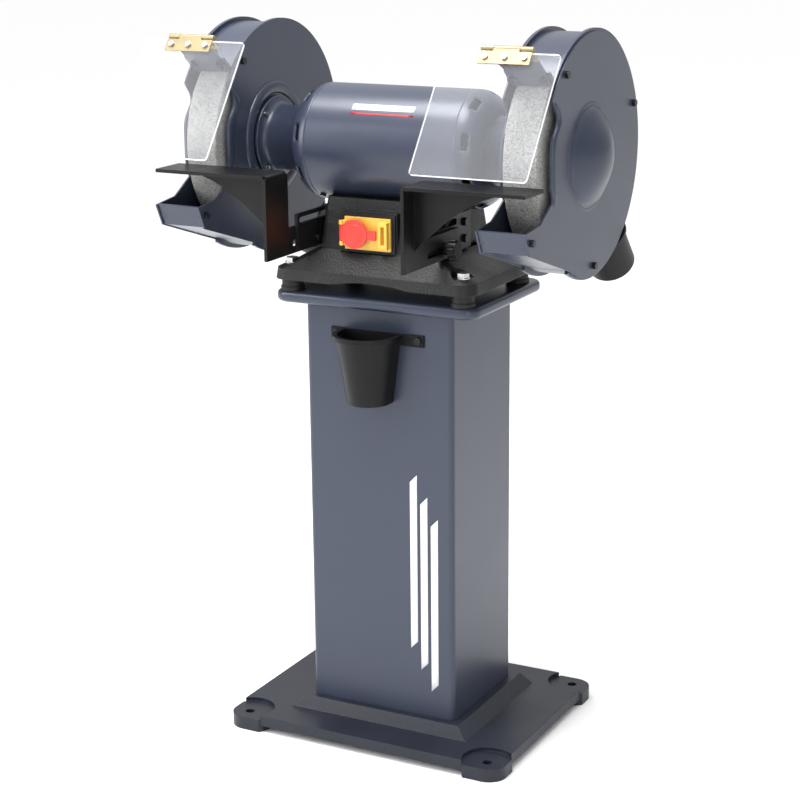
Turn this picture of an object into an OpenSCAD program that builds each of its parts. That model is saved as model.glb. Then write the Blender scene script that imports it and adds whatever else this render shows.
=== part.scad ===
// Floor-standing double-ended grinder, 300 mm wheels.
// Millimetres, +Z up, +X along the spindle to the right, -Y towards the user.
// Origin on the floor under the middle of the four floor bolts.

/* [Wheels and spindle] */
// Height of the spindle above the floor
spindle_z = 890; // [740:5:1070]
// Diameter of each grinding wheel
wheel_d = 300; // [250:1:360]
// Width of each grinding wheel
wheel_w = 50; // [41:1:60]
// Distance from the middle of the machine to the middle of a wheel
wheel_x = 251; // [249:1:290]
// Spindle diameter at the wheels
arbor_d = 32; // [26:1:36]
// Diameter of the clamping flanges
flange_d = 96; // [80:1:116]
// Spindle diameter in the bearings
journal_d = 40; // [38:1:48]

/* [Guards] */
// Gap between a wheel and the inner plate of its guard
gap_in = 9.5; // [9.5:0.5:12]
// Gap between a wheel and the outer cover of its guard
gap_out = 13.5; // [11:0.5:17]
// Radius of the guard drum beyond the wheel's
gap_round = 18; // [18:0.5:22]
// How far each rolled lip stands out past the drum
lip_h = 6; // [4:0.5:8]
// Sheet thickness of the guards
sheet_t = 2.5; // [2:0.1:2.5]
// Height of the raised dome on the outer cover
dome_h = 30; // [20:1:30]
// Outer diameter of the dust spigot
port_d = 70; // [56:1:70]
// Length of the dust spigot past the guard's lips
port_len = 74; // [50:1:90]

/* [Motor] */
// Outer diameter of the motor housing
motor_d = 170; // [150:1:204]
// Length of the straight part of the motor housing
motor_len = 236; // [200:2:284]
// Outer diameter of the bearing neck at each end
neck_d = 96; // [94:1:116]
// Radial thickness of the stator core
core_t = 28; // [24:1:34]

/* [Eye shields] */
// Width of each clear shield
shield_w = 166; // [138:1:200]
// Height of each clear shield
shield_h = 184; // [153:1:221]
// Thickness of each clear shield
shield_t = 4; // [3:0.5:5]
// Lean of the shield's lower edge towards the user
shield_tilt = 36; // [30:1:43]

/* [Tool rests] */
// Length of each table along the spindle
rest_len = 179; // [150:1:215]
// Depth of each table
rest_deep = 60; // [50:1:72]
// How far the table's top face lies below the spindle
rest_drop = 23; // [19:1:28]
// Plate thickness of the rests
rest_t = 5; // [4:0.5:6]
// Gap between a table and a new wheel
rest_gap = 3; // [2:0.5:4]

/* [Stand] */
// Width of the floor base
base_w = 462; // [385:1:555]
// Depth of the floor base
base_d = 364; // [330:1:437]
// Distance from a floor bolt to the side edge of the base
ear_x = 28.5; // [24:0.5:34]
// Distance from a floor bolt to the front or back edge of the base
ear_y = 24.5; // [22:0.5:30]
// Diameter of the floor bolt holes
anchor_d = 14; // [11:0.5:17]
// Width of the column
col_w = 240; // [200:1:244]
// Depth of the column
col_d = 202; // [169:1:206]
// Sheet thickness of the column
col_t = 3; // [2:0.5:4]
// Width of the top plate
top_w = 328; // [316:1:394]
// Depth of the top plate
top_d = 244; // [244:1:293]

/* [Water pot] */
// Width of the pot at its rim
pot_w = 93; // [78:1:112]
// Depth of the pot at its rim
pot_deep = 64.5; // [54:0.5:78]
// Height of the pot
pot_h = 103; // [86:1:124]

/* [Hidden] */
$fn = 64;
// Clearances
run_c = 0.05;
slide_c = 0.3;
// Wheels and spindle; the spindle sits a little in front of the guards' centre
wheel_r = wheel_d / 2;
wheel_x0 = wheel_x - wheel_w / 2;
wheel_x1 = wheel_x + wheel_w / 2;
spin_y = -14;
arbor_r = arbor_d / 2;
journal_r = journal_d / 2;
rotor_bore = journal_r + 5;
bearing_r = journal_r + 20;
bearing_w = 18;
// Guards
guard_y = 0;
guard_z = spindle_z;
guard_x = wheel_x0 - gap_in;
guard_x1 = wheel_x1 + gap_out;
guard_mid = (guard_x + guard_x1) / 2;
drum_r = wheel_r + gap_round;
plate_r = drum_r + 2;
hub_r = max(neck_d, flange_d) / 2 + 14;
hub_screw_r = hub_r - 6.5;
dome_r = flange_d / 2 + 28;
mouth_a = 139.45;
drum_a = mouth_a - 0.45;
heel_a = 242;
// The side plates' outline was drawn for a drum of 168 mm radius
form = drum_r / 168;
heel = [drum_r * cos(heel_a), drum_r * sin(heel_a)];
tray_low = [-212, -105] * form;
tray_top = [-227, -74] * form;
tray_screw = [-211, -88] * form;
screw_r = drum_r - 11;
screw_a = [130, 21, 272];
port_reach = drum_r + lip_h + port_len;
// Hinge of the eye shield, on the line that leaves the guard centre at mouth_a
pin_reach = drum_r + 78;
pin_y = guard_y + pin_reach * cos(mouth_a);
pin_z = guard_z + pin_reach * sin(mouth_a);
hinge_x = guard_mid - 9;
hinge_w = 74;
plate_x = [guard_x + sheet_t + 4 - hinge_x, guard_x1 - sheet_t - 6 - hinge_x];
bracket_x = [plate_x[0] + 7, plate_x[1] - 7];
bracket_z = drum_r + 14 - pin_reach;
rivet_x = 28;
pin_r = 2;
knuckle_r = 4;
// Stand levels
ear_z = 20;
slab_z0 = 10;
slab_z = 26;
plinth_z = 44;
top_z = spindle_z - 208;
skin_t = 5;
rim_h = 18;
anchor_x = base_w / 2 - ear_x;
anchor_y = base_d / 2 - ear_y;
stand_bolt = [col_w / 2 - 25, col_d / 2 - 25];
pot_top = top_z - 51;
pot_screw_x = pot_w / 2 + 20;
pot_x = -8;
pot_screw_z = pot_top - 7;
// Grinder casting
foot_h = 18;
cast_y = -12;
cast_z = top_z + foot_h;
foot_x = 138.7;
foot_y = 92;
bolt_seat = cast_z + 22;
bolt_r = 5;
hole_r = 5.2;
motor_r = motor_d / 2;
motor_t = 5;
rotor_r = motor_r - motor_t - core_t - 1;
cast_top = spindle_z - 71;
gland_x = 60;
cap_x = 50;
// Tool rest
rest_z = spindle_z - rest_drop;
rest_y1 = spin_y - wheel_r - rest_gap - 0.5;
rest_y0 = rest_y1 - rest_deep;
plate_t = 5;
pad_x = 100;
arm_x0 = pad_x + plate_t + slide_c;
rest_x = arm_x0 + 3.7;
arm_z0 = rest_z - 120;
arm_h = 38;
arm_y1 = -60;
slot_z = arm_z0 + 14;
clamp_y = -100;
clamp_r = 4;
pad_z = spindle_z - 115;
pad_screw_z = [pad_z - 11, pad_z + 13];
// Switch
sw_x = -13;
sw_z = top_z + 91;
sw_y = -98;
flap_x = sw_x - 40;
flap_y = sw_y - 10.5;
start_x = sw_x - 19.5;
stop_x = sw_x - 3;

slate = "#5c6478";
iron = "#33353a";
black = "#1c1c1e";
steel = "#c8ccd0";
zinc = "#d8cda0";

// ---- Helpers ----

// Plate in the Y-Z plane between two X values, its outline drawn about the guard centre
module guard_slab(x0, x1) {
  translate([x0, guard_y, guard_z]) rotate([90, 0, 90]) linear_extrude(x1 - x0) children();
}

// Cylinder along X between two X values
module xcyl(r, x0, x1, y = spin_y, z = spindle_z) {
  translate([x0, y, z]) rotate([0, 90, 0]) cylinder(r = r, h = x1 - x0);
}

// Cylinder along Y between two Y values
module ycyl(r, y0, y1, x, z) {
  translate([x, y0, z]) rotate([-90, 0, 0]) cylinder(r = r, h = y1 - y0);
}

// Solid of revolution about the spindle line, its outline given as [radius, X]
module turned(pts) {
  translate([0, spin_y, spindle_z]) rotate([0, 90, 0]) rotate_extrude() polygon(pts);
}

// Rectangle with true round corners
module rrect(w, d, r) {
  square([w - 2 * r, d], center = true);
  square([w, d - 2 * r], center = true);
  for (x = [-1, 1], y = [-1, 1]) translate([x * (w / 2 - r), y * (d / 2 - r)]) circle(r);
}

// Same part on both sides of the machine
module both() {
  children();
  mirror([1, 0, 0]) children();
}

// Four places at plus and minus x, y
module four(x, y, y_mid = 0) {
  for (sx = [-1, 1], sy = [-1, 1]) translate([sx * x, y_mid + sy * y, 0]) children();
}

// Upright hexagon bolt: washer on z0, head above it, shank below, optional nut
module hex_bolt(r, z0, shank, nut_z = -1) {
  translate([0, 0, z0]) cylinder(r = r * 2.1, h = 1.6);
  translate([0, 0, z0 + 1.6]) cylinder(r = r * 1.9, h = r * 1.3, $fn = 6);
  translate([0, 0, z0 - shank]) cylinder(r = r, h = shank + 2);
  if (nut_z >= 0) translate([0, 0, nut_z]) cylinder(r = r * 1.9, h = r * 1.5, $fn = 6);
}

// Frame with its origin on the hinge pin and -Z turned by a about the pin line
module at_pin(a) {
  translate([hinge_x, pin_y, pin_z]) rotate([a, 0, 0]) children();
}

// Round-ended slot through a plate that faces along X
module xslot(r, x0, x1, y0, y1, z) {
  xcyl(r, x0, x1, y0, z);
  xcyl(r, x0, x1, y1, z);
  span([x0, y0, z - r], [x1, y1, z + r]);
}

// Box given by its low and high corners
module span(a, b) {
  translate(a) cube(b - a);
}

// ---- Floor stand ----

// Cast floor base: slab on four corner pads, recessed ears, bevelled plinth
module floor_base() {
  color("#3b414c") difference() {
    union() {
      translate([0, 0, slab_z0]) linear_extrude(slab_z - slab_z0)
        difference() {
          rrect(base_w - 6, base_d - 6, 26);
          four(anchor_x, anchor_y) circle(38);
        }
      linear_extrude(ear_z) intersection() {
        rrect(base_w, base_d, 28);
        four(anchor_x, anchor_y) circle(38);
      }
      intersection() {
        plinth_wedge(col_w + 60, col_w + 26);
        plinth_side(col_d + 42, col_d + 22);
      }
    }
    four(anchor_x, anchor_y) translate([0, 0, -1]) cylinder(d = anchor_d, h = 60);
    four(stand_bolt[0], stand_bolt[1]) translate([0, 0, -1]) cylinder(r = hole_r, h = 60);
    for (sx = [-1, 1], sy = [-1, 1]) scale([sx, sy, 1])
      span([7, 7, slab_z0 - 1], [col_w / 2 + 9, col_d / 2 - 8, plinth_z - 12]);
  }
}

// Plinth outline with sloping ends, seen from the front
module plinth_wedge(w0, w1) {
  translate([0, base_d / 2, 0]) rotate([90, 0, 0]) linear_extrude(base_d)
    polygon([[-w0 / 2, slab_z0 + 2], [w0 / 2, slab_z0 + 2], [w0 / 2, slab_z],
             [w1 / 2, plinth_z], [-w1 / 2, plinth_z], [-w0 / 2, slab_z]]);
}

// Plinth outline with sloping front and back, seen from the side
module plinth_side(d0, d1) {
  translate([-base_w / 2, 0, 0]) rotate([90, 0, 90]) linear_extrude(base_w)
    polygon([[-d0 / 2, slab_z0], [d0 / 2, slab_z0], [d0 / 2, slab_z], [d1 / 2, plinth_z],
             [-d1 / 2, plinth_z], [-d0 / 2, slab_z]]);
}

// Folded sheet column with turned-in flanges at both ends
module column() {
  top = top_z - skin_t;
  color(slate) difference() {
    translate([0, 0, plinth_z]) linear_extrude(top - plinth_z) rrect(col_w, col_d, 8);
    translate([0, 0, plinth_z + 4]) linear_extrude(top - plinth_z - 8)
      rrect(col_w - 2 * col_t, col_d - 2 * col_t, 5);
    translate([0, 0, plinth_z - 1]) linear_extrude(top) rrect(col_w - 80, col_d - 80, 10);
    four(stand_bolt[0], stand_bolt[1]) translate([0, 0, plinth_z - 1])
      cylinder(r = hole_r, h = top);
    for (s = [-1, 1]) ycyl(3.2, -col_d / 2 - 1, -col_d / 2 + 5, s * pot_screw_x, pot_screw_z);
  }
}

// Pressed top plate with a rolled edge
module top_plate() {
  color(slate) difference() {
    hull() for (s = [[0, 6], [1.8, 1.8], [6, 0]])
      translate([0, 0, top_z - rim_h + s[1]]) linear_extrude(rim_h - 2 * s[1])
        rrect(top_w - 2 * s[0], top_d - 2 * s[0], 22, $fn = 32);
    translate([0, 0, top_z - rim_h - 1]) linear_extrude(rim_h + 1 - skin_t)
      rrect(top_w - 8, top_d - 8, 20);
    four(stand_bolt[0], stand_bolt[1]) translate([0, 0, top_z - 30]) cylinder(r = hole_r, h = 60);
    four(foot_x, foot_y, cast_y) translate([0, 0, top_z - 30]) cylinder(r = hole_r, h = 60);
  }
}

// Bolts that hold the column to the floor base
module column_bolts_low() {
  color(steel) four(stand_bolt[0], stand_bolt[1])
    hex_bolt(bolt_r, plinth_z + 4, 26, plinth_z - 12 - 7.5);
}

// Bolts from inside the column up into the top plate, ending flush with it
module column_bolts_top() {
  z1 = top_z - skin_t - 4;
  color(steel) four(stand_bolt[0], stand_bolt[1]) {
    translate([0, 0, z1 - 1]) cylinder(r = bolt_r, h = skin_t + 4.8);
    translate([0, 0, z1 - 1.6]) cylinder(r = bolt_r * 2.1, h = 1.6);
    translate([0, 0, z1 - 8.1]) cylinder(r = bolt_r * 1.9, h = 6.5, $fn = 6);
  }
}

// ---- Water pot ----

// Plan of the pot at a level: a straight back and a round front
module pot_plan(w, d) {
  intersection() {
    union() {
      translate([-w / 2, -d + w / 2]) square([w, max(0.01, d - w / 2)]);
      translate([0, -d + w / 2]) circle(w / 2, $fn = 64);
    }
    translate([-w, -w - d]) square([2 * w, w + d]);
  }
}

// Tapered cup with a beaded rim, on a back strip that runs out into two ears
module water_pot() {
  z1 = pot_top;
  z0 = z1 - pot_h;
  color(black) translate([0, -col_d / 2, 0]) difference() {
    union() {
      translate([pot_x, 0, 0]) {
        hull() {
          translate([0, 0, z0]) linear_extrude(1) pot_plan(pot_w - 29, pot_deep - 18);
          translate([0, 0, z1 - 1]) linear_extrude(1) pot_plan(pot_w, pot_deep);
        }
        translate([0, 0, z1 - 6]) linear_extrude(6) pot_plan(pot_w + 7, pot_deep + 3.5);
      }
      span([-pot_screw_x - 9, -3, z1 - 16], [pot_screw_x + 9, 0, z1 + 1]);
    }
    translate([pot_x, -3, 0]) hull() {
      translate([0, 0, z0 + 3]) linear_extrude(1) pot_plan(pot_w - 35, pot_deep - 24);
      translate([0, 0, z1]) linear_extrude(2) pot_plan(pot_w - 6, pot_deep - 6);
    }
    for (s = [-1, 1]) ycyl(3.1, -5, 5, s * pot_screw_x, pot_screw_z);
  }
}

// Pan-head screws through the pot's ears, with nuts inside the column
module pot_screws() {
  yf = -col_d / 2;
  color(black) for (x = [-pot_screw_x, pot_screw_x]) {
    ycyl(3, yf - 4, yf + col_t + 6, x, pot_screw_z);
    ycyl(5.5, yf - 5.8, yf - 3, x, pot_screw_z);
    ycyl(5.5, yf + col_t, yf + col_t + 5, x, pot_screw_z, $fn = 6);
  }
}

// ---- Grinder casting ----

// Slab of the casting at one level, as half width and half depth
module cast_level(hx, hy, z, r = 12) {
  translate([0, cast_y, z]) linear_extrude(1) rrect(2 * hx, 2 * hy, r, $fn = 32);
}

// Cast iron base: flared foot, tapered trunk, saddle for the motor, pads for switch and rests
module grinder_base() {
  hx = foot_x + 24;
  hy = foot_y + 24;
  color(iron) difference() {
    union() {
      hull() {
        cast_level(hx, hy, cast_z, 24);
        cast_level(hx - 2, hy - 2, cast_z + 15, 24);
        cast_level(100, 90, cast_z + 45, 16);
      }
      hull() {
        cast_level(99, 88, cast_z + 42, 14);
        cast_level(93, 68, cast_top - 1, 8);
      }
      span([sw_x - 45, sw_y, sw_z - 31], [sw_x + 45, -70, sw_z + 31]);
      span([gland_x - 15, 50, sw_z - 14], [gland_x + 15, 84, sw_z + 16]);
      for (s = [-1, 1]) translate([s * (pad_x - 15), -40, pad_z]) cube([30, 66, 62], center = true);
    }
    hull() {
      cast_level(114, 68, cast_z - 1, 8);
      cast_level(88, 66, cast_z + 40, 8);
      cast_level(82, 56, cast_top - 18, 8);
    }
    xcyl(motor_r, -150, 150);
    translate([0, cast_y - hy + 12, cast_z - 312]) rotate([90, 0, 0])
      cylinder(r = 318, h = 60, center = true, $fn = 160);
    four(foot_x, foot_y, cast_y) translate([0, 0, cast_z - 1]) cylinder(r = hole_r, h = 80);
    four(foot_x, foot_y, cast_y) translate([0, 0, bolt_seat]) cylinder(r = 17, h = 80);
    span([sw_x - 31, sw_y - 1, sw_z - 20], [sw_x + 31, -60, sw_z + 20]);
    span([sw_x - 44, sw_y - 40, sw_z - 29.5], [sw_x + 44, sw_y, sw_z + 29.5]);
    ycyl(8, 40, 90, gland_x, sw_z);
    for (s = [-1, 1], z = pad_screw_z) xcyl(3, s * (pad_x - 12) - 14, s * (pad_x - 12) + 14, -30, z);
  }
}

// Round feet between the casting and the top plate
module base_feet() {
  color(black) four(foot_x, foot_y, cast_y) difference() {
    union() {
      translate([0, 0, top_z]) cylinder(r = 16, h = foot_h);
      translate([0, 0, top_z]) cylinder(r = 17.5, h = 6);
    }
    translate([0, 0, top_z - 1]) cylinder(r = hole_r, h = foot_h + 2);
  }
}

// Bolts through the casting, the feet and the top plate, nuts under the plate
module base_bolts() {
  color(steel) four(foot_x, foot_y, cast_y)
    hex_bolt(bolt_r, bolt_seat, bolt_seat - top_z + 16, top_z - skin_t - 7.5);
}

// Sheet cover under the casting
module bottom_cover() {
  color(black) difference() {
    translate([0, cast_y, cast_z - 3]) linear_extrude(3) rrect(234, 142, 6);
    translate([cap_x, 0, cast_z - 10]) cylinder(r = 4.2, h = 20);
  }
}

// Motor capacitor standing on its stud inside the casting
module capacitor() {
  color("silver") translate([cap_x, 0, cast_z]) {
    cylinder(r = 22, h = 74);
    translate([0, 0, -8]) cylinder(r = 4, h = 9);
    translate([0, 0, -8]) cylinder(r = 7.5, h = 5, $fn = 6);
  }
}

// Cable gland in the back of the casting, with its lock nut inside
module cable_gland() {
  color(black) difference() {
    union() {
      ycyl(7.8, 38, 90, gland_x, sw_z);
      ycyl(12, 84, 91, gland_x, sw_z, $fn = 6);
      ycyl(10, 90, 104, gland_x, sw_z);
      ycyl(12, 38, 46, gland_x, sw_z, $fn = 6);
    }
    ycyl(4.5, 30, 110, gland_x, sw_z);
  }
}

// ---- Switch ----

// Dark frame behind the switch plate
module switch_frame() {
  color(black) difference() {
    span([sw_x - 43, sw_y - 3, sw_z - 28.5], [sw_x + 43, sw_y, sw_z + 28.5]);
    span([sw_x - 31, sw_y - 9, sw_z - 20], [sw_x + 31, sw_y + 9, sw_z + 20]);
  }
}

// Yellow housing: face plate, tub behind it, hinge ears and latch loop
module switch_housing() {
  yf = sw_y - 3;
  color("#f5d75a") difference() {
    union() {
      span([sw_x - 37, yf - 3, sw_z - 23.5], [sw_x + 37, yf, sw_z + 23.5]);
      difference() {
        span([sw_x - 30, yf - 1, sw_z - 19], [sw_x + 30, yf + 38, sw_z + 19]);
        span([sw_x - 28, yf, sw_z - 17], [sw_x + 28, yf + 18, sw_z + 17]);
        span([sw_x - 28, yf + 20, sw_z - 17], [sw_x + 28, yf + 36, sw_z + 17]);
      }
      difference() {
        span([sw_x + 21, yf - 11, sw_z - 19], [sw_x + 35, yf - 2, sw_z + 19]);
        span([sw_x + 25, yf - 12, sw_z - 13], [sw_x + 31, yf - 3, sw_z + 13]);
      }
      for (s = [-1, 1]) translate([flap_x, 0, sw_z + s * 15 - 3]) {
        translate([0, flap_y, 0]) cylinder(r = 3.5, h = 6);
        span([0, flap_y, 0], [7, yf, 6]);
      }
    }
    for (x = [start_x, stop_x]) ycyl(7, yf - 4, yf + 1, x, sw_z);
    for (x = [start_x, stop_x]) ycyl(3.4, yf + 10, yf + 30, x, sw_z);
    translate([flap_x, flap_y, sw_z - 30]) cylinder(r = 1.55, h = 60);
  }
}

// Red stop flap: round cover on a vertical pin, with a finger tab
module stop_flap() {
  color("#f04b40") {
    translate([flap_x, flap_y, sw_z - 17.5]) cylinder(r = 1.5, h = 35);
    translate([flap_x, flap_y, sw_z - 11]) cylinder(r = 3.2, h = 22);
    difference() {
      union() {
        ycyl(21, flap_y - 6, flap_y - 1, sw_x - 17, sw_z);
        span([flap_x, flap_y - 3.2, sw_z - 11], [sw_x - 30, flap_y - 1, sw_z + 11]);
        span([sw_x, flap_y - 5, sw_z - 7], [sw_x + 18, flap_y - 2, sw_z + 7]);
      }
      ycyl(18, flap_y - 3, flap_y, sw_x - 17, sw_z);
    }
  }
}

// Sprung push button: cap, stop collar and stem
module push_button(x) {
  yf = sw_y - 3;
  ycyl(6.6, yf - 6.5, yf + 0.5, x, sw_z);
  ycyl(8, yf + 0.3, yf + 2.3, x, sw_z);
  ycyl(3, yf + 2, yf + 26, x, sw_z);
}

// Green start button
module start_button() {
  color("green") push_button(start_x);
}

// Red stop button under the flap
module stop_button() {
  color("red") push_button(stop_x);
}

// ---- Motor ----

// Straight steel housing, seated in the casting
module motor_shell() {
  color(slate) difference() {
    xcyl(motor_r, -motor_len / 2, motor_len / 2);
    xcyl(motor_r - motor_t, -motor_len, motor_len);
    for (s = [-1, 1], a = [0, 60, 240, 300])
      translate([s * (motor_len / 2 - 6), spin_y, spindle_z]) rotate([a, 0, 0])
        rotate([-90, 0, 0]) cylinder(r = 2.6, h = 100);
  }
}

// Cast end bell: spigot, rounded shoulder with air slots, bearing neck and guard flange
module end_bell() {
  x0 = motor_len / 2;
  nr = neck_d / 2;
  br = motor_r - nr;
  xb = guard_x - 2 * bearing_w;
  steps = 8;
  outer = [for (i = [0:steps]) let (a = 90 * i / steps)
           [nr + br * cos(a), x0 + 36 * sin(a)]];
  inner = [for (i = [steps:-1:0]) let (a = 90 * i / steps)
           [nr - 6 + br * cos(a), x0 + 30 * sin(a)]];
  color(slate) difference() {
    turned(concat(
      [[motor_r - motor_t, x0 - 10], [motor_r - motor_t, x0], [motor_r, x0]], outer,
      [[nr, guard_x - 9], [hub_r - 1, guard_x - 6], [hub_r, guard_x - 3], [hub_r, guard_x]],
      [[journal_r + 2, guard_x], [journal_r + 2, xb + bearing_w], [bearing_r, xb + bearing_w],
       [bearing_r, xb], [bearing_r - 6, xb], [bearing_r - 6, x0 + 32], [nr - 6, x0 + 30]],
      inner,
      [[motor_r - motor_t - 6, x0 - 10]]));
    for (a = [30:45:345]) translate([x0 + 17, spin_y, spindle_z]) rotate([a, 0, 0])
      translate([0, 0, motor_r - 10]) cube([11, 24, 46], center = true);
    for (a = [45:90:315]) translate([guard_x - 14, spin_y, spindle_z]) rotate([a, 0, 0])
      translate([0, 0, hub_screw_r]) rotate([0, 90, 0]) cylinder(r = 2.6, h = 20);
    for (a = [0, 60, 240, 300]) translate([x0 - 6, spin_y, spindle_z]) rotate([a, 0, 0])
      rotate([-90, 0, 0]) cylinder(r = 2.6, h = 100);
  }
}

module end_bell_r() {
  end_bell();
}

module end_bell_l() {
  mirror([1, 0, 0]) end_bell();
}

// Button-head screws that hold the housing on the bell spigots
module bell_screws() {
  color(black) both() for (a = [0, 60, 240, 300])
    translate([motor_len / 2 - 6, spin_y, spindle_z]) rotate([a, 0, 0]) rotate([-90, 0, 0]) {
      translate([0, 0, motor_r - 11]) cylinder(r = 2.5, h = 12);
      translate([0, 0, motor_r + 0.3]) cylinder(r = 4.5, h = 2.7);
    }
}

// Laminated stator ring
module stator_core() {
  color("#808080") turned([[rotor_r + 1, -60], [motor_r - motor_t, -60],
                           [motor_r - motor_t, 60], [rotor_r + 1, 60]]);
}

// Copper end windings on both faces of the stator
module stator_windings() {
  color("#b0622a") both() turned([[rotor_r + 4, 60], [motor_r - 10, 60],
                                  [motor_r - 10, 80], [motor_r - 14, 84],
                                  [rotor_r + 8, 84], [rotor_r + 4, 80]]);
}

// Rotor pressed on the spindle
module rotor_core() {
  color("#909498") turned([[rotor_bore, -60], [rotor_r, -60], [rotor_r, 60], [rotor_bore, 60]]);
}

// Spindle: one turned bar with shoulders, journals and threaded ends
module spindle() {
  shoulder_r = min(arbor_r + 3, journal_r - 1);
  xb = guard_x - 2 * bearing_w;
  sx = wheel_x0 - 6;
  half = [[rotor_bore, 62], [journal_r + 2, 62], [journal_r + 2, xb], [journal_r, xb],
          [journal_r, guard_x - 10], [shoulder_r, guard_x - 10], [shoulder_r, sx], [arbor_r, sx],
          [arbor_r, wheel_x1 + 26], [arbor_r - 2, wheel_x1 + 28]];
  color(steel) turned(concat([[0, -wheel_x1 - 28]],
    [for (i = [len(half) - 1:-1:0]) [half[i][0], -half[i][1]]], half,
    [[0, wheel_x1 + 28]]));
}

// Outer rings of the two ball bearings
module bearing_outers() {
  xb = guard_x - 2 * bearing_w;
  color(steel) both() turned([[bearing_r - 6, xb], [bearing_r, xb],
                              [bearing_r, xb + bearing_w], [bearing_r - 6, xb + bearing_w]]);
}

// Inner rings and seals of the two ball bearings
module bearing_inners() {
  x0 = guard_x - 2 * bearing_w;
  x1 = x0 + bearing_w;
  seal_r = bearing_r - 6.4;
  color(steel) both() turned([[journal_r, x0], [journal_r + 6, x0], [journal_r + 6, x0 + 2],
                              [seal_r, x0 + 2], [seal_r, x1 - 2], [journal_r + 6, x1 - 2],
                              [journal_r + 6, x1], [journal_r, x1]]);
}

// ---- Wheels ----

// Bonded grinding wheel
module wheel() {
  r = wheel_r;
  color("#b8b8b4") turned([[arbor_r + run_c, wheel_x0], [r - 1.5, wheel_x0],
                           [r, wheel_x0 + 1.5], [r, wheel_x1 - 1.5],
                           [r - 1.5, wheel_x1], [arbor_r + run_c, wheel_x1]]);
}

module wheel_r() {
  wheel();
}

module wheel_l() {
  mirror([1, 0, 0]) wheel();
}

// Paper washers on both faces of both wheels
module blotters() {
  ar = arbor_r + run_c;
  color("#d8d0b0") both() {
    turned([[ar, wheel_x1], [flange_d / 2 + 2, wheel_x1],
            [flange_d / 2 + 2, wheel_x1 + 0.8], [ar, wheel_x1 + 0.8]]);
    turned([[ar, wheel_x0 - 0.8], [flange_d / 2 + 2, wheel_x0 - 0.8],
            [flange_d / 2 + 2, wheel_x0], [ar, wheel_x0]]);
  }
}

// Relieved clamping flange between x0 (hub side) and x1 (wheel side)
module flange(x0, x1) {
  ar = arbor_r;
  s = sign(x1 - x0);
  turned([[ar, x0], [flange_d / 2 - 3, x0], [flange_d / 2, x0 + s * 2], [flange_d / 2, x1],
          [flange_d / 2 - 14, x1], [flange_d / 2 - 14, x1 - s * 1.2], [ar, x1 - s * 1.2]]);
}

// Flanges on the motor side of the wheels
module inner_flanges() {
  color("#707478") both() flange(wheel_x0 - 6, wheel_x0 - 0.8);
}

// Flanges on the outer side of the wheels
module outer_flanges() {
  color("#707478") both() flange(wheel_x1 + 8, wheel_x1 + 0.8);
}

// Hexagon nuts on the spindle ends, left-hand thread on the left
module spindle_nuts() {
  color(steel) both() difference() {
    xcyl(25, wheel_x1 + 8, wheel_x1 + 22, $fn = 6);
    xcyl(arbor_r, wheel_x1, wheel_x1 + 30);
  }
}

// ---- Guards ----

// Front edge of the side plates, as Y for a height above the guard centre
function edge_y(z) = -148 + 20 * exp(-pow((z - 64) / 20, 2)) + 6 * exp(-pow((z + 45) / 14, 2));

// Region in front of the side plates' edge
module mouth_2d() {
  polygon(concat([[-320 * form, tray_top[1]], tray_top, [-181, -69] * form],
    [for (z = [-46:6:86]) [edge_y(z), z] * form], [[-146, 92] * form, [-320, 120] * form]));
}

// Side plate outline about the guard centre
module side_plate_2d() {
  difference() {
    union() {
      circle(plate_r, $fn = 128);
      polygon([heel * 1.012, tray_low + [-2, -2], tray_top + [-2, 0], [-140, -50] * form, [0, 0]]);
    }
    mouth_2d();
  }
}

// Drum wall between two radii, open at the front
module drum_2d(r0, r1) {
  difference() {
    circle(r1, $fn = 128);
    circle(r0, $fn = 128);
    polygon([[0, 0], [cos(drum_a), sin(drum_a)] * 400, [-400, 0],
             [cos(heel_a), sin(heel_a)] * 400]);
  }
}

// Raised bead that stiffens the front edge
module bead_2d() {
  polygon(concat([for (z = [-46:6:80]) [edge_y(z) + 4, z] * form],
    [for (z = [80:-6:-46]) [edge_y(z) + 11, z] * form]));
}

// Screw places of the side plates
module at_screws() {
  for (a = screw_a) rotate(a) translate([screw_r, 0]) children();
  translate(tray_screw) children();
}

// Frame of the dust spigot: origin at the guard centre, +Z out along the spigot
module at_port() {
  translate([guard_mid, guard_y, guard_z]) rotate([-138, 0, 0]) children();
}

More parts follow.
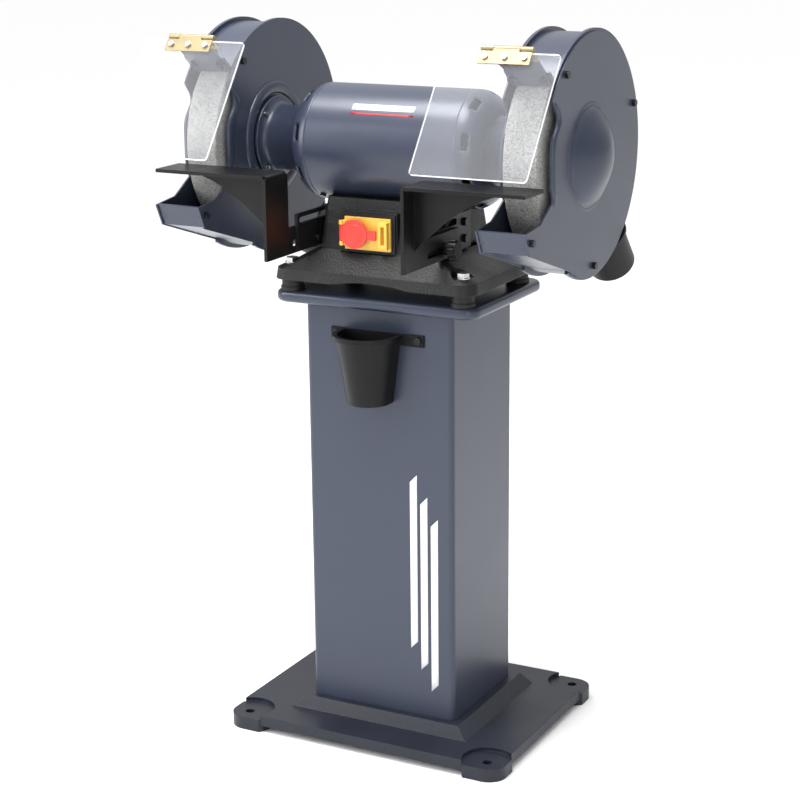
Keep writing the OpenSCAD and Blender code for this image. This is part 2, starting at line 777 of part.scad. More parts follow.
// Guard body: motor-side plate, drum, spark tray, lips and bracket flange
module guard_shell() {
  xa = guard_x;
  xb = guard_x + sheet_t;
  xc = guard_x1 - sheet_t;
  color(slate) difference() {
    union() {
      guard_slab(xa, xb) side_plate_2d();
      guard_slab(xb, xc) drum_2d(drum_r - sheet_t, drum_r);
      for (x = [[xa, xa + 5], [xc - 5, xc]])
        guard_slab(x[0], x[1]) drum_2d(drum_r - sheet_t, drum_r + lip_h);
      guard_slab(xb, xc) polygon([heel, tray_low, tray_top, tray_top + [2.4, 1],
        tray_low + [1.9, 2.4], heel + [0.6, 2.8]]);
      guard_slab(xa - 2.5, xa) bead_2d();
      for (x = [[xb, xb + 5], [xc - 8, xc]]) guard_slab(x[0], x[1]) at_screws() circle(9);
      at_pin(mouth_a - 90) span([xb - hinge_x, 1.3, drum_r - sheet_t - pin_reach],
                                [xc - 1 - hinge_x, 3.8, drum_r + 26 - pin_reach]);
    }
    xcyl(hub_r - 12, xa - 5, xb + 1);
    guard_slab(xa - 5, xb + 8) at_screws() circle(2.6);
    guard_slab(xc - 10, xc + 1) at_screws() circle(2.6);
    for (a = [45:90:315]) translate([xa - 1, spin_y, spindle_z]) rotate([a, 0, 0])
      translate([0, 0, hub_screw_r]) rotate([0, 90, 0]) cylinder(r = 3, h = 6);
    at_port() cylinder(d = port_d - 2 * sheet_t, h = port_reach);
    at_pin(mouth_a - 90) for (x = bracket_x) ycyl(3, -10, 10, x, bracket_z);
  }
}

module guard_shell_r() {
  guard_shell();
}

module guard_shell_l() {
  mirror([1, 0, 0]) guard_shell();
}

// X of the dome's outer face at a radius: a quarter of a cosine wave
function dome_x(r) = guard_x1 + dome_h * cos(90 * r / dome_r);

// Outer cover with the pressed dome over the spindle nut
module guard_cover() {
  xc = guard_x1 - sheet_t;
  steps = 14;
  arc_o = [for (i = [0:steps]) let (r = dome_r * (1 - i / steps)) [r, dome_x(r)]];
  arc_i = [for (i = [0:steps]) let (r = (dome_r - 3) * i / steps) [r, dome_x(r) - sheet_t]];
  color(slate) difference() {
    union() {
      difference() {
        guard_slab(xc, guard_x1) side_plate_2d();
        xcyl(dome_r - 3, xc - 1, guard_x1 + 1);
      }
      turned(concat([[dome_r, xc]], arc_o, arc_i, [[dome_r - 3, xc]]));
      guard_slab(guard_x1, guard_x1 + 4) bead_2d();
    }
    guard_slab(xc - 1, guard_x1 + 1) at_screws() circle(3);
  }
}

module guard_cover_r() {
  guard_cover();
}

module guard_cover_l() {
  mirror([1, 0, 0]) guard_cover();
}

// Black socket screws around both side plates of both guards
module cover_screws() {
  xc = guard_x1 - sheet_t;
  color(black) both() {
    guard_slab(xc - 7, guard_x1 + 1) at_screws() circle(2.5);
    guard_slab(guard_x1, guard_x1 + 5) at_screws() circle(5);
    guard_slab(guard_x - 1, guard_x + 6) at_screws() circle(2.5);
    guard_slab(guard_x - 5, guard_x) at_screws() circle(5);
  }
}

// Screws inside each guard that hold it to the end bell
module guard_mount_screws() {
  xb = guard_x + sheet_t;
  color(steel) both() for (a = [45:90:315])
    translate([0, spin_y, spindle_z]) rotate([a, 0, 0]) translate([0, 0, hub_screw_r])
      rotate([0, 90, 0]) {
        translate([0, 0, guard_x - 12]) cylinder(r = 2.5, h = 15);
        translate([0, 0, xb]) cylinder(r = 4.5, h = 3);
      }
}

// Dust spigot at the lower back of the guard
module dust_port() {
  color(black) difference() {
    union() {
      at_port() cylinder(d = port_d, h = port_reach);
      at_port() translate([0, 0, drum_r + lip_h]) cylinder(d = port_d + 8, h = 6);
    }
    at_port() translate([0, 0, -1]) cylinder(d = port_d - 2 * sheet_t, h = port_reach + 2);
    guard_slab(0, 400) circle(drum_r, $fn = 128);
    translate([guard_x, guard_y, guard_z]) rotate([0, 90, 0])
      cylinder(r = drum_r + lip_h + 0.2, h = 5.2, $fn = 128);
    translate([guard_x1 - sheet_t - 5.2, guard_y, guard_z]) rotate([0, 90, 0])
      cylinder(r = drum_r + lip_h + 0.2, h = 9, $fn = 128);
  }
}

module dust_port_r() {
  dust_port();
}

module dust_port_l() {
  mirror([1, 0, 0]) dust_port();
}

// ---- Eye shields ----

// Spark arrestor plate that carries the shield hinge, slotted for adjustment
module shield_bracket() {
  z_low = drum_r - 2 - pin_reach;
  color(slate) at_pin(mouth_a - 90) difference() {
    translate([0, 1, 0]) rotate([90, 0, 0]) linear_extrude(2.5)
      polygon([[plate_x[0], z_low], [plate_x[1], z_low], [plate_x[1], -50], [35, -5.5],
               [-35, -5.5], [plate_x[0], -44]]);
    for (x = bracket_x) {
      for (z = [-8, 4]) ycyl(3.4, -10, 10, x, bracket_z + z);
      span([x - 3.4, -10, bracket_z - 8], [x + 3.4, 10, bracket_z + 4]);
    }
  }
}

module shield_bracket_r() {
  shield_bracket();
}

module shield_bracket_l() {
  mirror([1, 0, 0]) shield_bracket();
}

// Screws through the bracket slots into the guard flange
module bracket_screws() {
  color(black) both() at_pin(mouth_a - 90) for (x = bracket_x) {
    ycyl(3, -4, 7, x, bracket_z);
    ycyl(5.5, -5.5, -1.5 - slide_c, x, bracket_z);
    ycyl(5.5, 3.8, 8, x, bracket_z, $fn = 6);
  }
}

// Fixed hinge leaf with its pin, riveted to the bracket
module hinge_leaf() {
  color(zinc) at_pin(mouth_a - 90) {
    for (s = [-1, 1]) {
      translate([s * 28 - 9, 0, 0]) rotate([0, 90, 0]) cylinder(r = knuckle_r, h = 18);
      span([s * 28 - 9, -3, -22], [s * 28 + 9, -1.5, 0]);
    }
    span([-hinge_w / 2, -3, -22], [hinge_w / 2, -1.5, -5.5]);
    for (x = [-rivet_x, 0, rivet_x]) ycyl(3, -4.5, -2.5, x, -14);
    translate([-hinge_w / 2 - 1, 0, 0]) rotate([0, 90, 0]) cylinder(r = pin_r, h = hinge_w + 2);
  }
}

module hinge_leaf_r() {
  hinge_leaf();
}

module hinge_leaf_l() {
  mirror([1, 0, 0]) hinge_leaf();
}

// Moving hinge leaf on the front of the shield
module shield_leaf() {
  color(zinc) at_pin(-shield_tilt) difference() {
    union() {
      translate([-18.5, 0, 0]) rotate([0, 90, 0]) cylinder(r = knuckle_r, h = 37);
      span([-18.5, -3.5, -8], [18.5, -2, 0]);
      span([-hinge_w / 2, -3.5, -24], [hinge_w / 2, -2, -5.5]);
    }
    translate([-60, 0, 0]) rotate([0, 90, 0]) cylinder(r = pin_r + run_c, h = 120);
    for (x = [-rivet_x, 0, rivet_x]) ycyl(2.1, -10, 10, x, -14);
  }
}

module shield_leaf_r() {
  shield_leaf();
}

module shield_leaf_l() {
  mirror([1, 0, 0]) shield_leaf();
}

// Clear eye shield
module eye_shield() {
  color("#d0dce8", 0.4) at_pin(-shield_tilt) difference() {
    translate([-6, shield_t - 2, -6 - shield_h / 2]) rotate([90, 0, 0])
      linear_extrude(shield_t) rrect(shield_w, shield_h, 5);
    for (x = [-rivet_x, 0, rivet_x]) ycyl(2.1, -10, 10, x, -14);
  }
}

module eye_shield_r() {
  eye_shield();
}

module eye_shield_l() {
  mirror([1, 0, 0]) eye_shield();
}

// Three screws and nuts that clamp the leaf to the shield
module shield_screws() {
  color(steel) at_pin(-shield_tilt) for (x = [-rivet_x, 0, rivet_x]) {
    ycyl(2, -4, shield_t + 1.5, x, -14);
    ycyl(4.5, -6.3, -3.5, x, -14);
    ycyl(4.2, shield_t - 2, shield_t + 0.8, x, -14, $fn = 6);
  }
}

module shield_screws_r() {
  shield_screws();
}

module shield_screws_l() {
  mirror([1, 0, 0]) shield_screws();
}

// ---- Tool rests ----

// Table, side plate, curved web and slotted arm, welded into one piece
module tool_rest() {
  x0 = arm_x0;
  color(black) difference() {
    union() {
      span([x0 + 4, rest_y0, rest_z - rest_t], [rest_x + rest_len, rest_y1, rest_z]);
      span([x0, rest_y0, arm_z0], [x0 + rest_t, rest_y1, rest_z - 4]);
      span([x0, rest_y1 - 1, arm_z0], [x0 + rest_t, arm_y1, arm_z0 + arm_h]);
      translate([x0 + 4, rest_y0 + 4, rest_z - 4]) rotate([-90, 0, 0])
        cylinder(r = 4, h = rest_deep - 8);
      translate([0, rest_y1 - 24, 0]) rotate([90, 0, 0]) linear_extrude(rest_t)
        polygon(concat([[x0 + 4, rest_z - 4]],
          [for (i = [0:10]) let (t = i / 10)
            [rest_x + 150 * (1 - t) + 0.1, rest_z - rest_t - 1 - 88 * pow(t, 1.8)]],
          [[x0 + 4, rest_z - 94]]));
    }
    xslot(5, x0 - 1, x0 + rest_t + 1, rest_y1 + 15, -76, slot_z);
  }
}

module tool_rest_r() {
  tool_rest();
}

module tool_rest_l() {
  mirror([1, 0, 0]) tool_rest();
}

// Slotted plates on the casting that carry the rests
module rest_brackets() {
  x0 = pad_x;
  color(black) both() difference() {
    translate([x0, 0, 0]) rotate([90, 0, 90]) linear_extrude(plate_t)
      polygon([[-152, arm_z0 + 2], [-10, arm_z0 + 2], [-10, arm_z0 + 56], [-152, arm_z0 + 56]]);
    xslot(4.5, x0 - 1, x0 + 6, -142, -60, arm_z0 + 46);
    xcyl(clamp_r + 0.05, x0 - 1, x0 + 6, clamp_y, slot_z);
    for (z = pad_screw_z) xcyl(3.1, x0 - 1, x0 + 6, -30, z);
  }
}

// Screws that hold the bracket plates to the casting
module rest_bracket_screws() {
  color(black) both() for (z = pad_screw_z) {
    xcyl(3, pad_x - 16, pad_x + plate_t + 1, -30, z);
    xcyl(6, pad_x + plate_t, pad_x + plate_t + 4, -30, z, $fn = 6);
  }
}

// Lobed clamp knob with its threaded stud
module rest_knob() {
  knob_x = arm_x0 + rest_t + 6.7;
  color(black) {
    xcyl(clamp_r, pad_x - 6, knob_x, clamp_y, slot_z);
    xcyl(9, arm_x0 + rest_t + slide_c, knob_x + 2, clamp_y, slot_z);
    xcyl(13, knob_x, knob_x + 12, clamp_y, slot_z);
    for (a = [0:72:288]) translate([knob_x, clamp_y, slot_z]) rotate([a + 18, 0, 0])
      translate([1, 0, 12]) rotate([0, 90, 0]) cylinder(r = 4, h = 10);
  }
}

module rest_knob_r() {
  rest_knob();
}

module rest_knob_l() {
  mirror([1, 0, 0]) rest_knob();
}

floor_base();
column();
top_plate();
column_bolts_low();
column_bolts_top();
water_pot();
pot_screws();
grinder_base();
base_feet();
base_bolts();
bottom_cover();
capacitor();
cable_gland();
switch_frame();
switch_housing();
stop_flap();
start_button();
stop_button();
motor_shell();
end_bell_l();
end_bell_r();
bell_screws();
stator_core();
stator_windings();
rotor_core();
spindle();
bearing_outers();
bearing_inners();
wheel_l();
wheel_r();
blotters();
inner_flanges();
outer_flanges();
spindle_nuts();
guard_shell_l();
guard_shell_r();
guard_cover_l();
guard_cover_r();
cover_screws();
guard_mount_screws();
dust_port_l();
dust_port_r();
shield_bracket_l();
shield_bracket_r();
bracket_screws();
hinge_leaf_l();
hinge_leaf_r();
shield_leaf_l();
shield_leaf_r();
eye_shield_l();
eye_shield_r();
shield_screws_l();
shield_screws_r();
tool_rest_l();
tool_rest_r();
rest_brackets();
rest_bracket_screws();
rest_knob_l();
rest_knob_r();
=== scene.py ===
import math

import bpy
import numpy as np
from mathutils import Matrix, Vector
from mathutils.geometry import delaunay_2d_cdt


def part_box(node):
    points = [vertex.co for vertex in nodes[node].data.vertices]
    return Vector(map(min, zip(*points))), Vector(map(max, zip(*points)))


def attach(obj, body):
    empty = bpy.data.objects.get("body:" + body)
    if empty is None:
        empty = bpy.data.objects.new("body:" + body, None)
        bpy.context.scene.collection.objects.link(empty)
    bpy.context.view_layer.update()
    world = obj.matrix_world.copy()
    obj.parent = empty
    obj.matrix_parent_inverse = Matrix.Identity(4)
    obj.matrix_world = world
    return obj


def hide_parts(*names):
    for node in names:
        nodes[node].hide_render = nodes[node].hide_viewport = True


# Floor-standing double-ended grinder with 300 mm wheels, in metres: +X right, -Y front, +Z up.
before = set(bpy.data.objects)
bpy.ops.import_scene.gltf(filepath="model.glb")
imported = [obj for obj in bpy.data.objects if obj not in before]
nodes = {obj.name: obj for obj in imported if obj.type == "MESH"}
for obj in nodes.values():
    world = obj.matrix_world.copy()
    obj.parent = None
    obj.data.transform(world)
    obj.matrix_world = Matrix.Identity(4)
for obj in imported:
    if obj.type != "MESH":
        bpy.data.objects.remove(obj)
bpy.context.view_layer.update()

# ---- Slate powder coat: motor, guards, column and top plate ----
# Oven-baked epoxy powder over sheet steel and castings: a satin grey-blue skin with faint
# orange peel. The shader helpers first needed here serve every later finish.


def new_material(name):
    """An empty node material with its output."""
    m = bpy.data.materials.new(name)
    m.use_nodes = True
    m.node_tree.nodes.clear()
    return m, m.node_tree


def node(tree, kind, **values):
    """Add one shader node; keys are sockets by name, or properties where no socket has it."""
    n = tree.nodes.new("ShaderNode" + kind)
    for key, value in values.items():
        socket = n.inputs.get(key.replace("_", " "))
        if socket is not None:
            socket.default_value = value
        else:
            setattr(n, key, value)
    return n


def finish(name, colour, rough, metal=0.0, peel=0.0, peel_scale=900.0, tint=0.06,
           rough_spread=0.05, coat=0.0, edge=0.0006, specular=0.5):
    """Paint, plastic or metal: noise on Object coordinates varies colour and roughness, a finer
    noise lifts the surface where peel is given, and a small bevel softens the light on the
    edges."""
    m, tree = new_material(name)
    link = tree.links.new
    place = node(tree, "TexCoord")
    cloud = node(tree, "TexNoise", Scale=9.0, Detail=5.0, Roughness=0.6)
    link(place.outputs["Object"], cloud.inputs["Vector"])
    ramp = node(tree, "ValToRGB")
    dark, light = ramp.color_ramp.elements
    dark.position, light.position = 0.3, 0.7
    dark.color = [c * (1 - tint) for c in colour] + [1]
    light.color = [min(1, c * (1 + tint)) for c in colour] + [1]
    link(cloud.outputs["Fac"], ramp.inputs["Fac"])
    gloss = node(tree, "MapRange", From_Min=0.35, From_Max=0.65,
                 To_Min=max(0.02, rough - rough_spread), To_Max=rough + rough_spread)
    link(cloud.outputs["Fac"], gloss.inputs["Value"])
    skin = node(tree, "BsdfPrincipled", Metallic=metal, Coat_Weight=coat, Coat_Roughness=0.15)
    skin.inputs["Specular IOR Level"].default_value = specular
    link(gloss.outputs["Result"], skin.inputs["Roughness"])
    round_edge = node(tree, "Bevel", samples=4, Radius=edge)
    link(ramp.outputs["Color"], skin.inputs["Base Color"])
    if peel > 0:
        fine = node(tree, "TexNoise", Scale=peel_scale, Detail=3.0, Roughness=0.55)
        link(place.outputs["Object"], fine.inputs["Vector"])
        bump = node(tree, "Bump", Strength=1.0, Distance=peel)
        link(fine.outputs["Fac"], bump.inputs["Height"])
        link(round_edge.outputs["Normal"], bump.inputs["Normal"])
        link(bump.outputs["Normal"], skin.inputs["Normal"])
    else:
        link(round_edge.outputs["Normal"], skin.inputs["Normal"])
    out = node(tree, "OutputMaterial")
    link(skin.outputs["BSDF"], out.inputs["Surface"])
    return m


def dress(names, material):
    """Give CAD nodes a finish."""
    for name in names:
        mesh = nodes[name].data
        mesh.materials.clear()
        mesh.materials.append(material)


slate_coat = finish("slate_powder_coat", (0.031, 0.039, 0.065), 0.31, metal=0.10, tint=0.025,
                    rough_spread=0.025, peel=0.000006, peel_scale=240.0, edge=0.0010)
dress(["column", "shield_bracket_l", "shield_bracket_r", "guard_shell_l", "guard_shell_r",
       "motor_shell"], slate_coat)

# ---- Floor base ----
# Grey iron casting painted dark slate, satin over a sandy skin, standing on four corner ears
# that are bolted to the floor.
base_paint = finish("base_dark_paint", (0.012, 0.0145, 0.024), 0.42, peel=0.00040,
                    peel_scale=330.0, tint=0.25, edge=0.0018, specular=0.35)
dress(["floor_base"], base_paint)

# ---- Column graphic ----
# Plain white vinyl: three upright bars of equal width, stuck on the right of the front face.


def mesh_piece(name, points, faces, material):
    """A smooth-shaded mesh object of one finish, from its points and faces."""
    mesh = bpy.data.meshes.new(name)
    mesh.from_pydata(points, [], faces)
    mesh.materials.append(material)
    mesh.shade_smooth()
    piece = bpy.data.objects.new(name, mesh)
    bpy.context.scene.collection.objects.link(piece)
    return piece


def surface(name, points, material, closed=False):
    """A grid of points (rows, columns, 3) as quads; closed joins each row's end to its start."""
    points = np.asarray(points, float)
    rows, cols = points.shape[:2]
    index = np.arange(rows * cols).reshape(rows, cols)
    if closed:
        index = np.hstack([index, index[:, :1]])
    quads = np.stack([index[:-1, :-1], index[1:, :-1], index[1:, 1:], index[:-1, 1:]], -1)
    return mesh_piece(name, points.reshape(-1, 3), quads.reshape(-1, 4).tolist(), material)


def thicken(piece, thickness):
    """Give a surface its wall, on the side its faces point away from."""
    wall = piece.modifiers.new("wall", "SOLIDIFY")
    wall.thickness = thickness
    wall.offset = -1.0


vinyl_white = finish("vinyl_white", (0.80, 0.81, 0.82), 0.45, tint=0.01, edge=0.0002)
column_lo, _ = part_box("column")
bar_left, bar_foot, bar_high, bar_wide = 0.050, 0.150, 0.260, 0.0115
bar_step, bar_drop, bar_slant = 0.017, 0.032, 0.012
vinyl_lift, vinyl_sheet = 0.0003, 0.0002
bar_rows = 12
for number in range(3):
    left = bar_left + number * bar_step
    foot = bar_foot - number * bar_drop
    across = np.array([left, left + bar_wide])
    upright = np.linspace(foot, foot + bar_high, bar_rows)
    slant = np.array([0.0, bar_slant])
    bar = np.stack([np.broadcast_to(across, (bar_rows, 2)),
                    np.full((bar_rows, 2), column_lo.y - vinyl_lift),
                    upright[:, None] + slant[None, :]], -1)
    stripe = surface(f"column_stripe_{number}", bar[::-1], vinyl_white)
    thicken(stripe, vinyl_sheet)
    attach(stripe, "machine")

# ---- Top plate ----
# Pressed steel plate with a rolled edge and a turned-down skirt, bolted to the column.


def round_rectangle(half_w, half_d, corner, steps=10):
    """Outline of a rectangle with round corners, anticlockwise: each corner is a quarter circle
    about a centre that lies the corner radius in from both sides."""
    turn = np.linspace(0, np.pi / 2, steps)
    parts = []
    for k, (sx, sy) in enumerate([(1, 1), (-1, 1), (-1, -1), (1, -1)]):
        a = turn + k * np.pi / 2
        parts.append(np.stack([sx * (half_w - corner) + corner * np.cos(a),
                               sy * (half_d - corner) + corner * np.sin(a)], -1))
    return np.concatenate(parts)


def ring_quads(index):
    """Quads between neighbouring rings of point numbers, each ring joined end to start."""
    around = np.hstack([index, index[:, :1]])
    return np.stack([around[:-1, :-1], around[:-1, 1:], around[1:, 1:], around[1:, :-1]], -1)


def closed_loft(name, rings, material, sharp=35):
    """A closed solid from rings of equal length (rings, points, 3): quads between neighbours and
    one flat face over each end, with edges sharp above an angle in degrees."""
    rings = np.asarray(rings, float)
    n, m = rings.shape[:2]
    index = np.arange(n * m).reshape(n, m)
    faces = ring_quads(index).reshape(-1, 4).tolist()
    faces += [index[0][::-1].tolist(), index[-1].tolist()]
    piece = mesh_piece(name, rings.reshape(-1, 3), faces, material)
    piece.data.set_sharp_from_angle(angle=math.radians(sharp))
    return piece


plate_lo, plate_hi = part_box("top_plate")
half_w = (plate_hi.x - plate_lo.x) / 2
half_d = (plate_hi.y - plate_lo.y) / 2
roll, skirt_in, under = 0.0062, 0.0090, 0.005
plate_corner, corner_loss = 0.022, 0.6
bend = np.linspace(0, np.pi / 2, 7)
inset = np.concatenate([[skirt_in, skirt_in], roll * (1 - np.sin(bend)), roll * (1 - np.cos(bend))])
height = np.concatenate([[plate_hi.z - under, plate_lo.z],
                         plate_lo.z + roll * (1 - np.cos(bend)),
                         plate_hi.z - roll * (1 - np.sin(bend))])
rings = []
for i, z in zip(inset, height):
    outline = round_rectangle(half_w - i, half_d - i, plate_corner - corner_loss * i)
    rings.append(np.column_stack([outline, np.full(len(outline), z)]))
plate_skin = closed_loft("top_plate_pressing", rings, slate_coat)
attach(plate_skin, "machine")
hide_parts("top_plate")

# ---- Cast grinder base ----
# Sand-cast iron trunk, left rough and sprayed black.
rough_cast = finish("rough_black_cast", (0.0075, 0.0078, 0.0078), 0.46, peel=0.0011,
                    peel_scale=340.0, tint=0.3, edge=0.0022, rough_spread=0.12, specular=0.35)
dress(["grinder_base"], rough_cast)

# ---- Rubber feet and switch seal ----
# Turned rubber feet under the casting, and the moulded seal behind the switch.
black_rubber = finish("black_rubber", (0.006, 0.006, 0.0065), 0.55, peel=0.0001, specular=0.35)
dress(["base_feet", "switch_frame"], black_rubber)

# ---- Tool rests, their brackets and the cover under the casting ----
# Plate parts welded up and powder coated black.
black_coat = finish("black_powder_coat", (0.0045, 0.0045, 0.0048), 0.36, peel=0.00014,
                    peel_scale=420.0, edge=0.0011, rough_spread=0.08, specular=0.28)
dress(["tool_rest_l", "tool_rest_r", "rest_brackets", "bottom_cover"], black_coat)

# ---- Water pot, dust spigots, knobs, gland ----
# Injection-moulded black plastic, faintly grained.
black_plastic = finish("black_moulding", (0.0042, 0.0042, 0.0044), 0.40, peel=0.00016,
                       peel_scale=420.0, edge=0.0014, specular=0.20)
dress(["water_pot", "dust_port_l", "dust_port_r", "rest_knob_l", "rest_knob_r",
       "cable_gland"], black_plastic)

# ---- Switch ----
# Glossy yellow moulding with a red hinged stop cover, which has a raised ring on its face, and
# two push buttons behind it.
yellow_moulding = finish("yellow_moulding", (0.80, 0.50, 0.075), 0.30, coat=0.1, edge=0.0010,
                         tint=0.02)
red_moulding = finish("red_moulding", (0.75, 0.050, 0.035), 0.32, coat=0.1, edge=0.0012,
                      tint=0.02)
green_moulding = finish("green_moulding", (0.03, 0.30, 0.08), 0.30, edge=0.0006, tint=0.02)
dress(["switch_housing"], yellow_moulding)
dress(["stop_flap", "stop_button"], red_moulding)
dress(["start_button"], green_moulding)
flap_lo, flap_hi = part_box("stop_flap")
ring_in, ring_r, ring_half, ring_high, ring_sunk = 0.0255, 0.0135, 0.0011, 0.0006, 0.0001
ring_x, ring_z = flap_lo.x + ring_in, (flap_lo.z + flap_hi.z) / 2
turn = np.linspace(0, 2 * np.pi, 65)[:-1]
lift = np.linspace(0, np.pi, 7)[:, None]
reach = ring_r + ring_half * np.cos(lift)
out = flap_lo.y + ring_sunk - ring_high * np.sin(lift)
ring = np.stack([ring_x + reach * np.cos(turn), np.broadcast_to(out, (len(lift), len(turn))),
                 ring_z + reach * np.sin(turn)], -1)
flap_ring = surface("flap_ring", ring[::-1], red_moulding, closed=True)
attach(flap_ring, "flap")

# ---- Motor end bells ----
# Cast aluminium bells, painted with the housing: a round shoulder cut by eight air slots, a
# bearing neck, and a flange that carries the guard.
shaft_y, shaft_z = -0.014, 0.890
motor_lo, motor_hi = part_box("motor_shell")
motor_r = (motor_hi.z - motor_lo.z) / 2
bell_lo, bell_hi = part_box("end_bell_r")
neck_r, flange_r, flange_w, fillet_r = 0.048, 0.062, 0.006, 0.010
shoulder, bell_wall = 0.036, 0.005
slot_from, slot_to = 19.5, 37.0
slot_count = 8


def turn_about_shaft(profile, angles):
    """Carry a profile of (radius, x) round the shaft line: y and z are the shaft's plus the
    radius times sine and cosine of the angle."""
    radius, x = np.asarray(profile).T
    return np.stack([np.broadcast_to(x[:, None], (len(x), len(angles))),
                     shaft_y - radius[:, None] * np.sin(angles)[None, :],
                     shaft_z + radius[:, None] * np.cos(angles)[None, :]], -1)


def bell_profile():
    """Shoulder as a quarter ellipse, straight neck, fillet and flange; the second array marks the
    rows that lie in the air slots, which run between two angles of the shoulder."""
    before = np.linspace(0, slot_from, 6)
    along = np.linspace(slot_from, slot_to, 5)[1:]
    bend = np.radians(np.concatenate([before, along, np.linspace(slot_to, 90, 14)[1:]]))
    r = neck_r + (motor_r - neck_r) * np.cos(bend)
    x = motor_hi.x + shoulder * np.sin(bend)
    end = bell_hi.x
    fillet = np.linspace(0, np.pi / 2, 8)
    foot_r = neck_r + fillet_r * (1 - np.cos(fillet))
    foot_x = end - flange_w - fillet_r + fillet_r * np.sin(fillet)
    rim = np.array([[flange_r - 0.001, end - flange_w], [flange_r, end - flange_w + 0.001],
                    [flange_r, end - 0.0005]])
    rows = np.concatenate([np.column_stack([r, x]), np.column_stack([foot_r, foot_x]), rim])
    row = np.arange(len(rows))
    first = len(before) - 1
    return rows, (row >= first) & (row < first + len(along))


rows, in_slot_row = bell_profile()
slot_half = math.radians(8.6)
pitch = 2 * math.pi / slot_count
first_slot = math.radians(30)
across_slot = np.linspace(-slot_half, slot_half, 5)[:-1]
cell = np.concatenate([across_slot, np.linspace(slot_half, pitch - slot_half, 11)[:-1]])
angles = np.concatenate([first_slot + k * pitch + cell for k in range(slot_count)])
in_slot_turn = np.tile(np.arange(len(cell)) < len(across_slot), slot_count)
keep = ~(in_slot_row[:-1, None] & in_slot_turn[None, :])
for side, sign in (("r", 1), ("l", -1)):
    grid = turn_about_shaft(rows, angles)
    grid[..., 0] *= sign
    quads = ring_quads(np.arange(grid[..., 0].size).reshape(grid.shape[:2]))[..., ::sign]
    bell = mesh_piece("bell_casting_" + side, grid.reshape(-1, 3), quads[keep].tolist(), slate_coat)
    thicken(bell, bell_wall)
    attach(bell, "machine")
    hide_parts("end_bell_" + side)

# ---- Motor band ----
# Two plain printed bands on the housing, one white and one red, wrapped onto its curve.
band_red = finish("band_red", (0.42, 0.012, 0.015), 0.4, tint=0.02, edge=0.0002)
band_half, ink_lift, ink_sheet = 0.050, 0.00015, 0.0001
across = np.linspace(-band_half, band_half, 9)
line = np.column_stack([np.full(len(across), motor_r + ink_lift), across])
for name, ink, top, bottom in (("motor_band_white", vinyl_white, 42, 49),
                               ("motor_band_red", band_red, 52, 54)):
    patch = turn_about_shaft(line, np.radians(np.linspace(top, bottom, 5))).swapaxes(0, 1)
    band = surface(name, patch, ink)
    thicken(band, ink_sheet)
    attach(band, "machine")

# ---- Guard covers ----
# Pressed steel side plates with a round dome over the spindle nut and a rolled bead along the
# mouth; four black screws hold each to the guard. The guard's inner plate has the same bead and
# a pressed ring round the bell's neck.
_, cover_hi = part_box("guard_cover_r")
plate_x, inner_plate_x = 0.2895, 0.2165
guard_z = shaft_z
dome_r, sheet = 0.076, 0.0025
drum_r = 0.170
mouth_line = -0.148
mouth_bumps = ((0.020, 0.064, 0.020), (0.006, -0.045, 0.014))
groove_deep, groove_at, groove_wide = 0.0032, 0.920, 0.035
bead_back, bead_half, bead_high = 0.0070, 0.0065, 0.0042
boss_r, boss_half, boss_high = 0.0745, 0.0095, 0.0050
foot_sunk = 0.0002


def mouth_edge(z):
    """Front edge of a side plate as Y for a height: a straight line plus bell curves, each with
    its size, the height of its middle and its spread."""
    return mouth_line + sum(size * np.exp(-((z - middle) / spread) ** 2)
                            for size, middle, spread in mouth_bumps)


def plate_outline():
    """Side plate about the guard centre: mouth edge, long arc round the drum, then the tray."""
    z = np.linspace(-0.046, 0.086, 45)
    mouth = np.column_stack([mouth_edge(z), z])
    turn = np.radians(np.linspace(148.15, -118.0, 120))
    arc = drum_r * np.column_stack([np.cos(turn), np.sin(turn)])
    tray = np.array([[-0.212, -0.1065], [-0.2145, -0.1055], [-0.2155, -0.104],
                     [-0.2285, -0.0765], [-0.2288, -0.0750], [-0.2275, -0.074], [-0.181, -0.069]])
    return np.concatenate([mouth, arc, tray])


def inside(points, outline):
    """Which points lie in a closed outline, by counting edges crossed to their right."""
    a, b = outline, np.roll(outline, -1, 0)
    py, pz = points[:, :1], points[:, 1:]
    span = (a[:, 1] > pz) != (b[:, 1] > pz)
    with np.errstate(divide="ignore", invalid="ignore"):
        cross = a[:, 0] + (pz - a[:, 1]) * (b[:, 0] - a[:, 0]) / (b[:, 1] - a[:, 1])
    return (np.where(span, py < cross, False).sum(1) % 2) == 1


def loop_edges(first, count):
    """Edges of a closed run of points, by number."""
    return [(first + i, first + (i + 1) % count) for i in range(count)]


